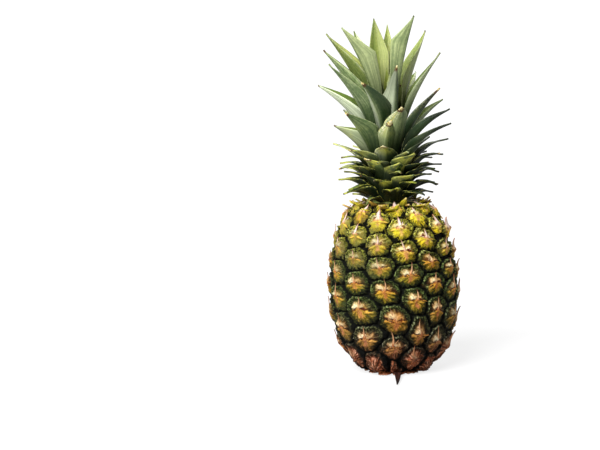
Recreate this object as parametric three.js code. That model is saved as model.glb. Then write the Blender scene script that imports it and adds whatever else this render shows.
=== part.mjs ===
// A whole fresh pineapple, standing on its base: the fruit with its spirals of eyes, the cut end of its
// stalk, one dry bract at the foot, and the crown, a short stem set with pointed leaves.
// Millimetres, +Z up. The origin is the middle of the flat base that the fruit stands on.
// Azimuths are in degrees: 0 is the front, towards -Y, and they grow towards +X.
import * as THREE from 'three';
import { mergeVertices } from 'three/addons/utils/BufferGeometryUtils.js';

// ---- driving dimensions ----
const FRUIT_RADIUS = 61;            // over the faces of the eyes, at the widest
const FRUIT_HEIGHT = 161;           // base to the seat of the crown
const STALK_RADIUS = 13;            // cut end of the stalk
const STALK_DEPTH = 14;             // how far the stalk's stub runs up into the fruit
const GAP = 0.3;                    // clearance left between pieces that touch

// Half outline of the fruit as shares of its radius and height, from the edge of the base to the crown.
const FRUIT_OUTLINE = [
  [0.4, 0], [0.52, 0.014], [0.64, 0.045], [0.76, 0.105], [0.85, 0.17], [0.91, 0.235], [0.97, 0.345],
  [0.995, 0.48], [0.98, 0.59], [0.93, 0.71], [0.85, 0.83], [0.78, 0.89], [0.68, 0.945], [0.55, 0.98],
  [0.4, 1],
];

// The dry bract that lies out from under the fruit's front.
const BRACT_AZIMUTH = -2.4;
const BRACT_ROOT_REACH = 28.6;
const BRACT_TIP_REACH = 80;
const BRACT_TIP_HEIGHT = 1.4;
const BRACT_WIDTH = 7;
const BRACT_THICKNESS = 1.1;

// ---- the fruit's eyes ----
const EYE_COUNT = 98;
const EYE_TURN = -77.3;             // turn from one eye to the next up the spiral
const EYE_START = -83;              // azimuth of the lowest eye
const EYE_COLUMNS = 14;             // steep spirals that the eyes line up in
const GROOVE_DEPTH = 3;             // how far the seams between eyes sink
const GROOVE_WIDTH = 7;             // from a seam to the full height of an eye
const FACETS_ACROSS_EYE = 5;
const FRUIT_ROWS = 35;

// ---- the crown ----
const STEM_BASE_RADIUS = 17;
const STEM_TIP_RADIUS = 3.4;
const STEM_HEIGHT = 72;
const LEAF_THICKNESS = 1.2;
const WIDEST_CLASP = 0.5;           // half turn of a leaf's foot round the stem, radians
const LEAF_ACROSS = 4;              // facets across a leaf
const LEAF_ALONG = 6;               // facets along it

// By a leaf's place, counted down from the heart: its root's rise on the stem, and its lean there.
const LEAF_ROOTS = [
  [0, 65, 8], [3, 56, 9], [7, 47, 11], [14, 38, 15], [27, 25, 26], [41, 13, 35], [55, 1, 42],
];

// The crown's leaves: azimuth of the root, height of the tip, reach of the tip from the axis, width,
// and how far the tip sways round from the root.
const LEAVES = [
  // the long leaves, from the heart outwards
  [50, 336, 31, 24, 10],
  [-52, 328, 47, 25, -8],
  [-163, 333, 30, 23, 0],
  [172, 327, 44, 20, 2],
  [112, 320, 48, 22, 12],
  [-104, 321, 58, 22, -6],
  [-148, 322, 58, 21, -4],
  [88, 300, 52, 19, 8],
  [-96, 306, 59, 19, -5],
  [18, 292, 30, 18, -1],
  [-71, 294, 55, 20, -7],
  [-18, 278, 52, 26, -11],
  [146, 281, 47, 22, -6],
  [80, 267, 50, 22, 4],
  [-160, 270, 56, 22, 0],
  [-104, 273, 66, 20, 0],
  [17, 255, 46, 26, -3],
  [171, 261, 57, 22, -5],
  [118, 254, 60, 21, -3],
  [63, 249, 60, 21, 10],
  [-8, 242, 44, 18, 10],
  [-60, 250, 48, 24, 3],
  [-132, 246, 60, 21, -6],
  [58, 235, 62, 22, 12],
  [-80, 237, 53, 22, 6],
  [136, 236, 60, 21, 6],
  [-168, 234, 60, 21, 0],
  // the short scales below them
  [-10, 223, 40, 22, 0],
  [43, 225, 54, 22, 10],
  [-56, 220, 45, 19, 0],
  [98, 222, 58, 18, 5],
  [-108, 219, 54, 19, 0],
  [28, 211, 46, 22, 6],
  [79, 213, 50, 18, -3],
  [-148, 216, 54, 19, 4],
  [160, 213, 54, 19, 0],
  [-28, 208, 46, 20, -10],
  [120, 205, 50, 18, 4],
  [-72, 203, 51, 18, 6],
  [6, 204, 43, 20, 6],
  [56, 200, 46, 18, 5],
  [-172, 199, 50, 18, 0],
  [90, 196, 45, 17, 0],
  [-122, 196, 49, 18, 0],
  [-40, 193, 45, 18, -6],
  [26, 192, 43, 21, 8],
  [142, 191, 48, 17, 0],
  [-12, 188, 41, 19, -4],
  [-90, 187, 48, 16, 4],
  [64, 186, 42, 17, 8],
  [-150, 183, 46, 17, 0],
  [108, 181, 46, 16, 0],
  [-60, 178, 45, 16, -4],
  [12, 180, 40, 18, 0],
  [172, 176, 45, 16, 0],
  [42, 174, 39, 18, 8],
];

const { degToRad, radToDeg, lerp, smoothstep } = THREE.MathUtils;

// A solid's geometry with shared vertices, from one of the three.js shapes.
function closed(geometry) {
  geometry.deleteAttribute('normal');
  geometry.deleteAttribute('uv');
  return mergeVertices(geometry, 1e-3);
}

// Moves every vertex of a geometry to where place(x, y, z) puts it.
function reshape(geometry, place) {
  const position = geometry.getAttribute('position');
  for (let i = 0; i < position.count; i++) {
    const moved = place(position.getX(i), position.getY(i), position.getZ(i));
    position.setXYZ(i, moved.x, moved.y, moved.z);
  }
  return geometry;
}

function piece(name, geometry, color, roughness) {
  const material = new THREE.MeshStandardMaterial({ color, roughness, metalness: 0 });
  const mesh = new THREE.Mesh(geometry, material);
  mesh.name = name;
  return mesh;
}

// Reads a row of a table whose first column rises, at a value of that column.
function readTable(table, at) {
  const upper = Math.max(1, table.findIndex((row) => row[0] >= at));
  const [low, high] = [table[upper - 1], table[upper]];
  const share = (at - low[0]) / (high[0] - low[0]);
  return low.map((value, i) => lerp(value, high[i], share));
}

// ---- the fruit ----
const outline = new THREE.SplineCurve(
  FRUIT_OUTLINE.map(([radius, height]) => new THREE.Vector2(radius * FRUIT_RADIUS, height * FRUIT_HEIGHT)),
);
outline.arcLengthDivisions = 400;

// Share of the outline's length reached after a share of the eyes: the lowest eyes are the tallest.
const climb = (share) => share * (1.57 - 1.09 * share + 0.52 * share * share);

// 1 at a distance of 0, falling off smoothly over the width.
const bump = (distance, width) => Math.exp(-((distance / width) ** 2));

// How far the rows of eyes stray from their spirals at a place: degrees round, and mm up the skin.
function drift(azimuth, height) {
  const side = radToDeg(Math.atan2(Math.sin(degToRad(azimuth)), Math.cos(degToRad(azimuth))));
  const turn = 10 * bump(side + 2, 32) * bump(height - 52, 26) - 4 * bump(side - 45, 14) * bump(height - 62, 28);
  let lift = 8 * bump(height - 27, 13) * bump(side + 12, 26) + 3 * bump(height - 74, 26) * bump(side + 5, 30);
  lift += 4 * bump(height - 14, 10) * bump(side + 5, 50) - 6 * bump(height - 42, 11) * bump(side - 24, 16);
  lift -= 9 * smoothstep(side, 15, 60) * (1 - smoothstep(side, 100, 170)) * smoothstep(height, 66, 130);
  return { turn, lift };
}

// Depth of the skin at a point: 0 on the face of an eye, down to the groove's depth on a seam.
function seamDepth(azimuth, along, radius, eyes) {
  let nearest = Infinity;
  let second = Infinity;
  for (const eye of eyes) {
    const turn = degToRad(azimuth - eye.azimuth);
    const wrapped = Math.atan2(Math.sin(turn), Math.cos(turn));
    const distance = Math.hypot(wrapped * radius, along - eye.along);
    second = Math.min(second, Math.max(nearest, distance));
    nearest = Math.min(nearest, distance);
  }
  return GROOVE_DEPTH * (1 - smoothstep(second - nearest, 0, GROOVE_WIDTH));
}

function fruitGeometry() {
  const length = outline.getLength();
  const eyes = [];
  for (let i = 0; i < EYE_COUNT; i++) {
    const along = length * climb((i + 0.5) / EYE_COUNT);
    eyes.push({ azimuth: EYE_START + i * EYE_TURN, along });
  }
  // The skin's rows turn with the steep spirals, so that every eye meets the facets in the same way.
  const steepTurn = (EYE_TURN * EYE_COLUMNS + 3 * 360) / EYE_COLUMNS;
  const rows = [];
  for (let row = 0; row <= FRUIT_ROWS; row++) {
    const share = row / FRUIT_ROWS;
    const at = climb(share);
    rows.push({ at, point: outline.getPointAt(at), turn: EYE_START + steepTurn * EYE_COUNT * share });
  }
  const profile = [
    new THREE.Vector2(0, STALK_DEPTH + GAP),
    new THREE.Vector2(STALK_RADIUS + GAP, STALK_DEPTH + GAP),
    new THREE.Vector2(STALK_RADIUS + GAP, 0),
    ...rows.map((row) => row.point),
    new THREE.Vector2(0, FRUIT_HEIGHT),
  ];
  const geometry = closed(new THREE.LatheGeometry(profile, EYE_COLUMNS * FACETS_ACROSS_EYE));
  reshape(geometry, (x, y, z) => {
    const radius = Math.hypot(x, z);
    const row = rows.findIndex(({ point }) => Math.hypot(point.x - radius, point.y - y) < 1e-3);
    if (row < 0) return { x, y, z };
    const azimuth = radToDeg(Math.atan2(x, z)) + rows[row].turn;
    const along = outline.getTangentAt(rows[row].at);
    const fade = smoothstep(row, 0, 4) * smoothstep(FRUIT_ROWS - row, 0, 4);
    const { turn, lift } = drift(azimuth, y);
    const depth = fade * seamDepth(azimuth - turn, length * rows[row].at - lift, radius, eyes);
    const sunk = radius - depth * along.y;
    const angle = degToRad(azimuth);
    return { x: sunk * Math.sin(angle), y: y + depth * along.x, z: sunk * Math.cos(angle) };
  });
  return geometry.rotateX(Math.PI / 2);
}

function stalkGeometry() {
  const cylinder = new THREE.CylinderGeometry(STALK_RADIUS, STALK_RADIUS, STALK_DEPTH, 24);
  return closed(cylinder).rotateX(Math.PI / 2).translate(0, 0, STALK_DEPTH / 2);
}

// A narrow tongue that lies on the ground, its sides raised a little and its point curling up.
function bractGeometry() {
  const box = new THREE.BoxGeometry(2, 1, 1, 2, 1, 4);
  return reshape(closed(box), (x, y, z) => {
    const t = z + 0.5;
    const half = (BRACT_WIDTH / 2) * (1 - t ** 1.6) + 0.3;
    const thickness = BRACT_THICKNESS * (1 - 0.5 * t);
    const floor = 0.15 + (BRACT_TIP_HEIGHT - BRACT_THICKNESS) * t ** 3 + 0.5 * t * (1 - t) * x * x;
    return {
      x: x * half,
      y: -lerp(BRACT_ROOT_REACH, BRACT_TIP_REACH, t),
      z: floor + (y + 0.5) * thickness,
    };
  }).rotateZ(degToRad(BRACT_AZIMUTH));
}

// ---- the crown ----
const stemRadius = (rise) => lerp(STEM_BASE_RADIUS, STEM_TIP_RADIUS, rise / STEM_HEIGHT);

function stemGeometry() {
  const steps = 4;
  const shoulder = STEM_HEIGHT - 4;
  const profile = [new THREE.Vector2(0, FRUIT_HEIGHT + GAP)];
  for (let i = 0; i <= steps; i++) {
    const rise = lerp(GAP, shoulder, i / steps);
    profile.push(new THREE.Vector2(stemRadius(rise), FRUIT_HEIGHT + rise));
  }
  profile.push(new THREE.Vector2(0, FRUIT_HEIGHT + STEM_HEIGHT));
  return closed(new THREE.LatheGeometry(profile, 20)).rotateX(Math.PI / 2);
}

// The line of a leaf in the plane of the axis, as reach and height: up the stem, then bending outwards.
function leafLine(leafPlace, tipHeight, tipReach) {
  const [, rise, rootLean] = readTable(LEAF_ROOTS, leafPlace);
  const root = new THREE.Vector2(stemRadius(rise) + GAP + LEAF_THICKNESS / 2, FRUIT_HEIGHT + rise);
  const tip = new THREE.Vector2(tipReach, tipHeight);
  const chord = root.distanceTo(tip);
  const chordLean = Math.atan2(tip.x - root.x, tip.y - root.y);
  const startLean = degToRad(rootLean);
  const endLean = chordLean + 0.9 * (chordLean - startLean);
  const towards = (lean) => new THREE.Vector2(Math.sin(lean), Math.cos(lean)).multiplyScalar(chord * 0.36);
  const afterRoot = root.clone().add(towards(startLean));
  const beforeTip = tip.clone().sub(towards(endLean));
  return new THREE.CubicBezierCurve(root, afterRoot, beforeTip, tip);
}

// Share of the full width along the leaf: narrower where it clasps the stem, then a long point.
function leafTaper(t) {
  const clasp = 0.78 + 0.22 * smoothstep(t, 0, 0.3);
  return clasp * Math.sin(Math.min(1, (1 - t) / 0.55) * (Math.PI / 2));
}

// A leaf is a box bent along its line, cupped towards the middle of the crown.
function leafGeometry([azimuth, tipHeight, tipReach, width, sway], leafPlace) {
  const line = leafLine(leafPlace, tipHeight, tipReach);
  const rootReach = line.v0.x;
  const box = new THREE.BoxGeometry(2, 1, 1, LEAF_ACROSS, 1, LEAF_ALONG);
  return reshape(closed(box), (x, y, z) => {
    const t = z + 0.5;
    const middle = line.getPoint(t);
    const tangent = line.getTangent(t);
    const cup = lerp(1 / rootReach, 1 / (0.8 * width), smoothstep(t, 0, 0.4));
    const half = Math.min((width / 2) * leafTaper(t) + 0.3, WIDEST_CLASP * middle.x);
    const angle = x * half * cup;
    const thickness = LEAF_THICKNESS * (1 - 0.65 * x * x) * (1 - 0.5 * t);
    const lift = (1 - Math.cos(angle)) / cup + y * thickness * Math.cos(angle);
    const aside = Math.sin(angle) / cup - y * thickness * Math.sin(angle);
    const reach = middle.x - lift * tangent.y;
    const turn = degToRad(azimuth + sway * t * t);
    return {
      x: reach * Math.sin(turn) + aside * Math.cos(turn),
      y: -reach * Math.cos(turn) + aside * Math.sin(turn),
      z: middle.y + lift * tangent.x,
    };
  });
}

const pineapple = new THREE.Group();
pineapple.add(piece('fruit_body', fruitGeometry(), 0x6b6a22, 0.6));
pineapple.add(piece('fruit_stalk', stalkGeometry(), 0x9a8352, 0.8));
pineapple.add(piece('foot_bract', bractGeometry(), 0x5a3a22, 0.8));
pineapple.add(piece('crown_stem', stemGeometry(), 0x7d8a4a, 0.7));
LEAVES.forEach((leaf, i) => {
  const name = 'crown_leaf_' + String(i + 1).padStart(2, '0');
  pineapple.add(piece(name, leafGeometry(leaf, i), 0x5d7a4e, 0.55));
});

export default pineapple;
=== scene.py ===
import math
import random

import bmesh
import bpy
from mathutils import Matrix, Vector, noise


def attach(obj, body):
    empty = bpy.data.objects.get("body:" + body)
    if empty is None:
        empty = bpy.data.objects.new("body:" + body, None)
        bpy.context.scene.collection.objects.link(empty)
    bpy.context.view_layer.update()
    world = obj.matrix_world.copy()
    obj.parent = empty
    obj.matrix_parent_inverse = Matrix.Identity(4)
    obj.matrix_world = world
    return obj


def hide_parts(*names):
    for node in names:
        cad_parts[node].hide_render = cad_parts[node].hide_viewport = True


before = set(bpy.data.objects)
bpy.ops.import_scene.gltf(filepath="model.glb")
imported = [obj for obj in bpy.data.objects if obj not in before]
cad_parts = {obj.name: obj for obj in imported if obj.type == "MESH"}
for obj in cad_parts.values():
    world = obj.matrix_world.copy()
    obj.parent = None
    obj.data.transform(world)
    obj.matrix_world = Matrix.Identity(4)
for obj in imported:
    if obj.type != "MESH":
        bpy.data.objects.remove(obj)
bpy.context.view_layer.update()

MM = 0.001
NOISE_SEED = 1
noise.seed_set(NOISE_SEED)                    # noise vectors would otherwise start from the clock
SEEDS = {
    "leaf": 500, "heart leaf": 700, "foot scale": 800, "collar bract": 900, "eye": 1000, "foot flake": 1100,
    "dry tip": 2000,
}

# ---- the fruit, as the frame has it ----
FRUIT_RADIUS = 61 * MM
FRUIT_HEIGHT = 161 * MM
STALK_RADIUS = 13 * MM
STALK_DEPTH = 14 * MM
GAP = 0.3 * MM
FRUIT_OUTLINE = [
    (0.4, 0), (0.52, 0.014), (0.64, 0.045), (0.76, 0.105), (0.85, 0.17), (0.91, 0.235), (0.97, 0.345),
    (0.995, 0.48), (0.98, 0.59), (0.93, 0.71), (0.85, 0.83), (0.78, 0.89), (0.68, 0.945), (0.55, 0.98),
    (0.4, 1),
]
EYE_COUNT = 98
EYE_TURN = -77.3
EYE_START = -83
EYE_COLUMNS = 14
STEEP_TURN = (EYE_TURN * EYE_COLUMNS + 3 * 360) / EYE_COLUMNS
EYE_NEIGHBOURS = (5, 9, 14, -5, -9, -14)      # steps along the spiral to the six eyes round an eye
HALF_TURN = 180 / EYE_COLUMNS                 # degrees from the middle of an eye to its side
HALF_STEPS = EYE_COLUMNS / 2                  # steps along the spiral from its middle to its top
CELLS_ACROSS_EYE = 27
ARCH_REACH = 1.12                             # of the bead line over an eye, as a share of its half width
ARCH_SCALE = 12                               # mm for each half width
SKIN_ROWS = 240

# ---- the crown, as the frame has it ----
STEM_BASE_RADIUS = 17 * MM
STEM_TIP_RADIUS = 3.4 * MM
STEM_HEIGHT = 72 * MM
LEAF_THICKNESS = 1.2 * MM
WIDEST_CLASP = 0.5
LEAF_ROOTS = [
    (0, 65, 8), (3, 56, 9), (7, 47, 11), (14, 38, 15), (27, 25, 26), (41, 13, 35), (55, 1, 42),
]
LEAVES = [
    (50, 336, 31, 24, 10), (-52, 328, 47, 25, -8), (-163, 333, 30, 23, 0), (172, 327, 44, 20, 2),
    (112, 320, 48, 22, 12), (-104, 321, 58, 22, -6), (-148, 322, 58, 21, -4), (88, 300, 52, 19, 8),
    (-96, 306, 59, 19, -5), (18, 292, 30, 18, -1), (-71, 294, 55, 20, -7), (-18, 278, 52, 26, -11),
    (146, 281, 47, 22, -6), (80, 267, 50, 22, 4), (-160, 270, 56, 22, 0), (-104, 273, 66, 20, 0),
    (17, 255, 46, 26, -3), (171, 261, 57, 22, -5), (118, 254, 60, 21, -3), (63, 249, 60, 21, 10),
    (-8, 242, 44, 18, 10), (-60, 250, 48, 24, 3), (-132, 246, 60, 21, -6), (58, 235, 62, 22, 12),
    (-80, 237, 53, 22, 6), (136, 236, 60, 21, 6), (-168, 234, 60, 21, 0), (-10, 223, 40, 22, 0),
    (43, 225, 54, 22, 10), (-56, 220, 45, 19, 0), (98, 222, 58, 18, 5), (-108, 219, 54, 19, 0),
    (28, 211, 46, 22, 6), (79, 213, 50, 18, -3), (-148, 216, 54, 19, 4), (160, 213, 54, 19, 0),
    (-28, 208, 46, 20, -10), (120, 205, 50, 18, 4), (-72, 203, 51, 18, 6), (6, 204, 43, 20, 6),
    (56, 200, 46, 18, 5), (-172, 199, 50, 18, 0), (90, 196, 45, 17, 0), (-122, 196, 49, 18, 0),
    (-40, 193, 45, 18, -6), (26, 192, 43, 21, 8), (142, 191, 48, 17, 0), (-12, 188, 41, 19, -4),
    (-90, 187, 48, 16, 4), (64, 186, 42, 17, 8), (-150, 183, 46, 17, 0), (108, 181, 46, 16, 0),
    (-60, 178, 45, 16, -4), (12, 180, 40, 18, 0), (172, 176, 45, 16, 0), (42, 174, 39, 18, 8),
]


# ---- small sums ----
def lerp(low, high, share):
    return low + (high - low) * share


def smoothstep(low, high, value):
    share = min(1.0, max(0.0, (value - low) / (high - low)))
    return share * share * (3 - 2 * share)


def bump(distance, width):
    """1 at a distance of 0, falling off smoothly over the width."""
    return math.exp(-(distance / width) ** 2)


def smooth_min(a, b, blend):
    """The lesser of two numbers, with the change from one to the other rounded off."""
    overlap = max(blend - abs(a - b), 0) / blend
    return min(a, b) - overlap * overlap * blend / 4


def wrap(degrees):
    """The same angle between -180 and 180."""
    return (degrees + 180) % 360 - 180


def lies_within(azimuth, span):
    """Whether an azimuth lies between the two of a span."""
    return span[0] < wrap(azimuth) < span[1]


def read_table(table, at):
    """Reads a table whose first column rises, at a value of that column."""
    upper = next((i for i, row in enumerate(table) if i and row[0] >= at), len(table) - 1)
    low, high = table[upper - 1], table[upper]
    share = (at - low[0]) / (high[0] - low[0])
    return [lerp(a, b, share) for a, b in zip(low, high)]


def chance_for(kind, number):
    """The source of chance values for one piece of a kind, the same each time."""
    return random.Random(SEEDS[kind] + number)


def around(reach, azimuth, height):
    """A point by its distance from the axis, its azimuth and its height."""
    turn = math.radians(azimuth)
    return Vector((reach * math.sin(turn), -reach * math.cos(turn), height))


# ---- shader nodes, written as sums ----
class Value:
    """A value that changes over a surface."""

    def __init__(self, nodes, socket):
        self.nodes = nodes
        self.socket = socket

    def __add__(self, other):
        return self.nodes.math("ADD", self, other)

    def __sub__(self, other):
        return self.nodes.math("SUBTRACT", self, other)

    def __mul__(self, other):
        return self.nodes.math("MULTIPLY", self, other)

    def __truediv__(self, other):
        return self.nodes.math("DIVIDE", self, other)

    def __abs__(self):
        return self.nodes.math("ABSOLUTE", self)

    def scaled(self, scale, shift):
        """The value times a scale, plus a shift."""
        return self.nodes.value("ShaderNodeMath", {0: self, 1: scale, 2: shift}, operation="MULTIPLY_ADD")

    def step(self, low, high, to_low=0.0, to_high=1.0):
        """Goes smoothly from to_low to to_high as the value goes from low to high."""
        if low > high:
            low, high, to_low, to_high = high, low, to_high, to_low
        return self.nodes.ramp(self, low, high, to_low, to_high)


class Nodes:
    """Adds nodes to one node tree."""

    def __init__(self, tree):
        self.tree = tree

    def add(self, kind, inputs=None, **settings):
        node = self.tree.nodes.new(kind)
        for name, value in settings.items():
            setattr(node, name, value)
        for name, value in (inputs or {}).items():
            self.feed(node.inputs[name], value)
        return node

    def value(self, kind, inputs=None, output=0, **settings):
        """Adds a node for one of its outputs."""
        return Value(self, self.add(kind, inputs, **settings).outputs[output])

    def feed(self, socket, value):
        if isinstance(value, Value):
            self.tree.links.new(value.socket, socket)
        else:
            socket.default_value = value

    def group(self, group, **inputs):
        """Adds a node group, and gives its outputs by their names."""
        outputs = self.add("ShaderNodeGroup", inputs, node_tree=group).outputs
        return {socket.name: Value(self, socket) for socket in outputs}

    def math(self, operation, a, b=0.0, clamp=False):
        return self.value("ShaderNodeMath", {0: a, 1: b}, operation=operation, use_clamp=clamp)

    def ramp(self, value, low, high, to_low=0.0, to_high=1.0):
        """The same as a value's own step, with ends that may change over the surface too."""
        inputs = {"Value": value, "From Min": low, "From Max": high, "To Min": to_low, "To Max": to_high}
        return self.value("ShaderNodeMapRange", inputs, "Result", interpolation_type="SMOOTHSTEP")

    def shifted(self, vector, distance):
        """The vector moved aside, for a second noise unlike the first."""
        return self.value("ShaderNodeVectorMath", {0: vector, 1: (distance,) * 3}, operation="ADD")

    def length(self, x, y):
        return self.math("SQRT", x * x + y * y)

    def mix(self, factor, a, b, blend="MIX"):
        """Two paints in one. A paint may be given as the three values that a screen shows."""
        inputs = {0: factor, 6: shader_paint(a), 7: shader_paint(b)}
        return self.value("ShaderNodeMix", inputs, 2, data_type="RGBA", blend_type=blend)

    def noise(self, scale, detail, roughness, vector, distortion=0.0):
        inputs = {"Scale": scale, "Detail": detail, "Roughness": roughness, "Distortion": distortion}
        return self.value("ShaderNodeTexNoise", inputs | {"Vector": vector}, "Fac")

    def attribute(self, name):
        return self.value("ShaderNodeAttribute", output="Vector", attribute_name=name)

    def split(self, vector):
        return [Value(self, socket) for socket in self.add("ShaderNodeSeparateXYZ", {0: vector}).outputs]

    def join(self, x, y, z):
        return self.value("ShaderNodeCombineXYZ", {0: x, 1: y, 2: z})

    def object_point(self):
        return self.value("ShaderNodeTexCoord", output="Object")


class Group(Nodes):
    """A node group to be filled, with named inputs and outputs."""

    def __init__(self, name, inputs, outputs):
        super().__init__(bpy.data.node_groups.new(name, "ShaderNodeTree"))
        for socket, value in inputs.items():
            kind = "NodeSocketFloat" if isinstance(value, float) else "NodeSocketVector"
            self.tree.interface.new_socket(socket, in_out="INPUT", socket_type=kind).default_value = value
        for socket in outputs:
            self.tree.interface.new_socket(socket, in_out="OUTPUT", socket_type="NodeSocketFloat")
        self.given = {socket.name: Value(self, socket) for socket in self.add("NodeGroupInput").outputs}
        self.out = self.add("NodeGroupOutput").inputs


class Finish(Nodes):
    """A material with a plain shader, whose paint is laid on coat by coat."""

    def __init__(self, name, roughness, specular):
        self.material = bpy.data.materials.new(name)
        self.material.use_nodes = True
        super().__init__(self.material.node_tree)
        self.shader = self.tree.nodes["Principled BSDF"].inputs
        self.shader["Roughness"].default_value = roughness
        self.shader["Specular IOR Level"].default_value = specular

    def lay(self, mask, paint, blend="MIX"):
        """Lays a coat of paint through a mask of 0 to 1."""
        self.paint = self.mix(mask, self.paint, paint, blend)

    def finish(self, relief, depth, strength):
        """Gives the shader its paint, and a relief of 0 to 1 that stands for a depth."""
        bumps = {"Height": relief, "Strength": strength, "Distance": depth}
        self.feed(self.shader["Base Color"], self.paint)
        self.feed(self.shader["Normal"], self.value("ShaderNodeBump", bumps, "Normal"))
        return self.material


def linear(value):
    """A screen's value of 0 to 255 as an amount of light from 0 to 1."""
    share = value / 255
    return share / 12.92 if share <= 0.04045 else ((share + 0.055) / 1.055) ** 2.4


def shader_paint(paint):
    """A paint as the shader wants it: three screen values become amounts of light."""
    if isinstance(paint, tuple) and len(paint) == 3:
        return (*(linear(value) for value in paint), 1.0)
    return paint


def finish_piece(bm, name, materials, replaces=()):
    """Makes an object of a finished bmesh, and tells the frame what it is."""
    mesh = bpy.data.meshes.new(name)
    for face in bm.faces:
        face.smooth = True
    bm.to_mesh(mesh)
    bm.free()
    for material in materials:
        mesh.materials.append(material)
    piece = bpy.data.objects.new(name, mesh)
    bpy.context.scene.collection.objects.link(piece)
    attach(piece, "root")
    if replaces:
        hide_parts(*replaces)
    return piece


def thicken(piece, thickness, offset):
    """Gives a sheet its thickness."""
    wall = piece.modifiers.new("thickness", "SOLIDIFY")
    wall.thickness = thickness
    wall.offset = offset
    return wall


# ---- the fruit's outline and its eyes ----
class Outline:
    """The fruit's half outline, read by the share of its length from the base's edge to the crown."""

    def __init__(self, points, steps=400):
        last = len(points) - 1
        self.points = []
        for step in range(steps + 1):
            place = last * step / steps
            start = min(int(place), last - 1)
            before, a, b, after = (points[min(last, max(0, start + k))] for k in (-1, 0, 1, 2))
            t = place - start
            into, out = (b - before) / 2, (after - a) / 2
            cubic, square = 2 * a - 2 * b + into + out, -3 * a + 3 * b - 2 * into - out
            self.points.append(((cubic * t + square) * t + into) * t + a)
        self.reached = [0.0]
        for a, b in zip(self.points, self.points[1:]):
            self.reached.append(self.reached[-1] + (b - a).length)
        self.length = self.reached[-1]

    def at(self, share):
        """The point at a share of the length, and the direction of the outline there."""
        wanted = share * self.length
        low = 0
        high = len(self.reached) - 1
        while high - low > 1:
            middle = (low + high) // 2
            low, high = (middle, high) if self.reached[middle] <= wanted else (low, middle)
        a, b = self.points[low], self.points[high]
        between = (wanted - self.reached[low]) / (self.reached[high] - self.reached[low])
        return a.lerp(b, between), (b - a).normalized()


OUTLINE = Outline([
    Vector((radius * FRUIT_RADIUS, height * FRUIT_HEIGHT)) for radius, height in FRUIT_OUTLINE
])


def climb(share):
    """Share of the outline's length reached after a share of the eyes: the lowest eyes are the tallest."""
    return share * (1.57 - 1.09 * share + 0.52 * share * share)


def climb_rate(share):
    return 1.57 - 2.18 * share + 1.56 * share * share


class Eye:
    """The few repeatable numbers, from -1 to 1, that tell one eye from the next."""

    def __init__(self, number):
        chance = chance_for("eye", number)
        self.lean, self.swell, self.lift, self.tone = (chance.uniform(-1, 1) for _ in range(4))


EYES = {number: Eye(number) for number in range(-2 * EYE_COLUMNS, EYE_COUNT + 2 * EYE_COLUMNS)}


# Where the rows of eyes turn aside, degrees, and where they lift, mm: the most that they do, the azimuth and
# the degrees over which it fades, and the height and the mm over which it fades.
ROW_TURNS = [(10, -2, 32, 52, 26), (-4, 45, 14, 62, 28)]
ROW_LIFTS = [(8, -12, 26, 27, 13), (3, -5, 30, 74, 26), (4, -5, 50, 14, 10), (-6, 24, 16, 42, 11)]


class SkinRow:
    """One level of the skin, by its share of the eyes below it."""

    def __init__(self, share):
        (self.reach, self.height), self.along = OUTLINE.at(climb(share))
        self.share = share
        self.index = share * EYE_COUNT - 0.5
        self.degree = math.radians(self.reach)
        self.step = OUTLINE.length * climb_rate(share) / EYE_COUNT
        # the eyes flatten out towards both ends of the fruit
        self.fade = smoothstep(0, 0.05, share) * smoothstep(1, 0.965, share)
        self.neighbours = [
            Vector((wrap(steps * EYE_TURN) * self.degree, steps * self.step)) for steps in EYE_NEIGHBOURS
        ]

    def drift(self, azimuth):
        """How far the rows of eyes stray from their spirals here, along the row and up the skin."""
        side = wrap(azimuth)
        height = self.height / MM
        turn, lift = (
            sum(most * bump(side - middle, wide) * bump(height - level, tall)
                for most, middle, wide, level, tall in drifts)
            for drifts in (ROW_TURNS, ROW_LIFTS)
        )
        lift -= 9 * smoothstep(15, 60, side) * smoothstep(170, 100, side) * smoothstep(66, 130, height)
        return Vector((-turn * self.degree, -lift * MM))

    def wander(self, azimuth):
        """How far the eyes lie from their places on the spirals, with their borders' own unevenness."""
        place = around(self.reach, azimuth, self.height)
        coarse = noise.noise_vector(place * 95) * 1.6 * MM
        fine = noise.noise_vector(place * 330) * 1.3 * MM
        return self.drift(azimuth) + Vector((coarse.x + fine.x, coarse.y + fine.y))

    def offset(self, azimuth, eye, wander=Vector((0, 0))):
        """From the middle of an eye to a place in this row: along the row, and up the skin."""
        turn = wrap(azimuth - EYE_START - eye * EYE_TURN)
        return Vector((turn * self.degree, (self.index - eye) * self.step)) + wander

    def eye_at(self, azimuth, wander):
        nearby = range(math.floor(self.index) - 8, math.floor(self.index) + 10)
        return min(nearby, key=lambda eye: self.offset(azimuth, eye, wander).length_squared)

    def in_eye(self, azimuth, eye, wander):
        """A place in the terms of an eye: -1 to 1 across, -1 to 1 up, and the distance to its seam."""
        offset = self.offset(azimuth, eye, wander)
        across = offset.x / (self.degree * HALF_TURN)
        up = offset.y / (self.step * HALF_STEPS)
        straight = min(
            (other.length_squared / 2 - offset.dot(other)) / other.length for other in self.neighbours
        )
        # an arch above, and narrower sides below
        half_width = 1.50 - 0.36 * smoothstep(0.1, -1.0, up)
        rounded = (1 - math.hypot(across / half_width, up / 1.20)) * self.step * HALF_STEPS
        return across, up, smooth_min(straight, rounded, 2 * MM)

    def place(self, azimuth, stand):
        """The point that stands over the skin's mean face here."""
        return around(self.reach + stand * self.along.y, azimuth, self.height - stand * self.along.x)


BEADS_ROUND_EYE = 28


def bract_edge(across, lean):
    """How high in its eye the upper edge of the fleshy bract runs: it bends down to both sides."""
    return 0.03 - (0.30 + 0.2 * lean) * abs(across)


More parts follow.
